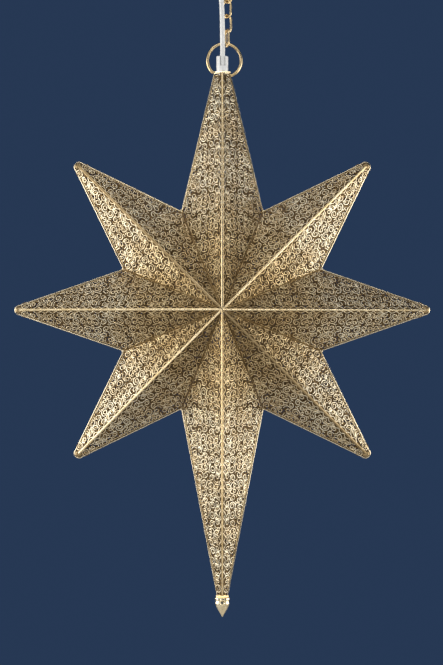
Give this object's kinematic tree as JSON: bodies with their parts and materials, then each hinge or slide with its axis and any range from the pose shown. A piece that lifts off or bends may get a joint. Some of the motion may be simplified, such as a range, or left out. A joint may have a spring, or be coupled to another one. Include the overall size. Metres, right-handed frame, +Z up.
{
  "type": "moravian star pendant light",
  "caption": "Hanging Moravian star lamp in pierced antique-gold metal, with long top and bottom points, a drop finial, hanging ring, chain, white cord and ceiling canopy.",
  "frame": {"origin": "centre of the ceiling face, on the chain's axis, where the strap and the canopy's rim meet the ceiling", "axes": "+Z up into the ceiling, the star's front faces -Y, +X to the right seen from the front"},
  "size_m": [0.556, 0.1498, 0.9104],
  "materials": {
    "pierced_gold": "antique gold, embossed and pierced",
    "plain_gold": "antique gold, plain folded strip",
    "polished_brass": "polished",
    "satin_brass": "satin",
    "plated_steel": "zinc plated",
    "white_cord": "matt, smooth jacket",
    "white_plastic": "matt",
    "dark_plastic": "matt",
    "contact_metal": "plain",
    "bulb_glass": "frosted inside"
  },
  "bodies": {
    "ceiling": {"crossbar": "plated_steel", "ceiling_stud": "plated_steel", "stud_nut": "plated_steel", "canopy": "satin_brass", "canopy_collar": "satin_brass", "canopy_loop": "satin_brass", "cord_bushing": "white_plastic", "terminal_block": "white_plastic", "terminal_screws": "plated_steel", "supply_cord": "white_cord"},
    "link_1": {"chain_link_1": "satin_brass"},
    "link_2": {"chain_link_2": "satin_brass"},
    "link_3": {"chain_link_3": "satin_brass"},
    "link_4": {"chain_link_4": "satin_brass"},
    "link_5": {"chain_link_5": "satin_brass"},
    "ring": {"hanging_ring": "satin_brass"},
    "star": {"front_point_right": "pierced_gold", "front_point_upper_right": "pierced_gold", "front_point_top": "pierced_gold", "front_point_upper_left": "pierced_gold", "front_point_left": "pierced_gold", "front_point_lower_left": "pierced_gold", "front_point_bottom": "pierced_gold", "front_point_lower_right": "pierced_gold", "rear_point_right": "pierced_gold", "rear_point_upper_right": "pierced_gold", "rear_point_top": "pierced_gold", "rear_point_upper_left": "pierced_gold", "rear_point_lower_left": "pierced_gold", "rear_point_bottom": "pierced_gold", "rear_point_lower_right": "pierced_gold", "front_ridges": "plain_gold", "rear_ridges": "plain_gold", "edge_wires": "plain_gold", "point_tips": "plain_gold", "hinge_bracket": "satin_brass", "hinge_pin": "plated_steel", "top_cap": "plain_gold", "cord_grip": "white_plastic", "lamp_tube": "plated_steel", "tube_nuts": "plated_steel", "lamp_leads": "white_cord", "socket_cap": "dark_plastic", "socket_body": "dark_plastic", "screw_shell": "contact_metal", "centre_contact": "contact_metal", "bottom_plug": "plain_gold", "finial_collar": "polished_brass", "finial": "polished_brass", "finial_stud": "plated_steel"},
    "door": {"rear_door": "pierced_gold", "door_ridge": "plain_gold", "door_knuckles": "satin_brass", "door_knob": "satin_brass"},
    "bulb": {"bulb_base": "contact_metal", "bulb_glass": "bulb_glass"}
  },
  "joints": [
    {"name": "chain_swing", "type": "hinge", "parent": "ceiling", "child": "link_1", "pos_m": [0, 0, -0.0514], "axis": [1, 0, 0], "range_deg": [-25, 25], "deforming": ["supply_cord"]},
    {"name": "star_turn", "type": "hinge", "parent": "link_1", "child": "ring", "pos_m": [0, 0, -0.1451], "axis": [0, 0, 1], "range_deg": [-20, 20], "deforming": ["supply_cord"]},
    {"name": "link_2_turn", "type": "hinge", "parent": "link_1", "child": "link_2", "pos_m": [0, 0, -0.0676], "axis": [0, 0, 1], "range_deg": [-4, 4]},
    {"name": "link_3_turn", "type": "hinge", "parent": "link_1", "child": "link_3", "pos_m": [0, 0, -0.0871], "axis": [0, 0, 1], "range_deg": [-8, 8]},
    {"name": "link_4_turn", "type": "hinge", "parent": "link_1", "child": "link_4", "pos_m": [0, 0, -0.1066], "axis": [0, 0, 1], "range_deg": [-12, 12]},
    {"name": "link_5_turn", "type": "hinge", "parent": "link_1", "child": "link_5", "pos_m": [0, 0, -0.1261], "axis": [0, 0, 1], "range_deg": [-16, 16]},
    {"name": "star_rock", "type": "hinge", "parent": "ring", "child": "star", "pos_m": [-0.0063, 0, -0.18488], "axis": [0.9877, 0, -0.1564], "range_deg": [-20, 20], "deforming": ["supply_cord"]},
    {"name": "door_open", "type": "hinge", "parent": "star", "child": "door", "pos_m": [-0.21797, 0.0045, -0.47528], "axis": [0.9448, 0, 0.3275], "range_deg": [0, 70]},
    {"name": "bulb_turn", "type": "hinge", "parent": "star", "child": "bulb", "pos_m": [-0.0063, 0, -0.40038], "axis": [0, 0, 1], "range_deg": [0, 360]}
  ],
  "couplings": [
    {"joint": "link_2_turn", "follows": "star_turn", "ratio": 0.2},
    {"joint": "link_3_turn", "follows": "star_turn", "ratio": 0.4},
    {"joint": "link_4_turn", "follows": "star_turn", "ratio": 0.6},
    {"joint": "link_5_turn", "follows": "star_turn", "ratio": 0.8}
  ]
}
